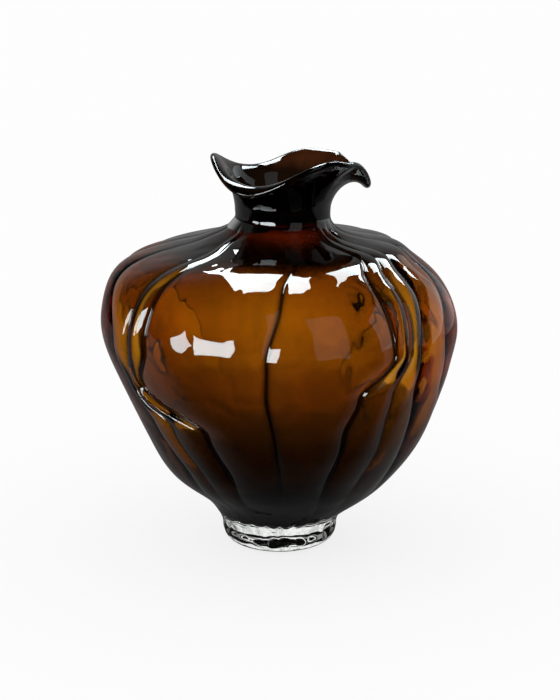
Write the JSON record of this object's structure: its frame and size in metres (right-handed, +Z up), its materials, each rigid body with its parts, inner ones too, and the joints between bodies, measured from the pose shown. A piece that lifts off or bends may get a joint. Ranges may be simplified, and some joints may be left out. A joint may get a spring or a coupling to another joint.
{
  "type": "vase",
  "caption": "Gourd-shaped amber glass vase with pleated folds, a narrow neck and a ruffled lip, fused to a thick clear glass foot.",
  "frame": {"origin": "on the surface that the vase stands on, under the middle of the foot", "axes": "+Z up along the foot's axis, -Y towards the viewer of the picture, +X to the right"},
  "size_m": [0.2119, 0.2104, 0.2392],
  "materials": {
    "amber_glass": "glossy amber glass, darker towards the neck and the base",
    "clear_glass": "glossy clear glass"
  },
  "bodies": {
    "root": {"amber_vessel": "amber_glass", "clear_foot": "clear_glass"}
  },
  "joints": []
}
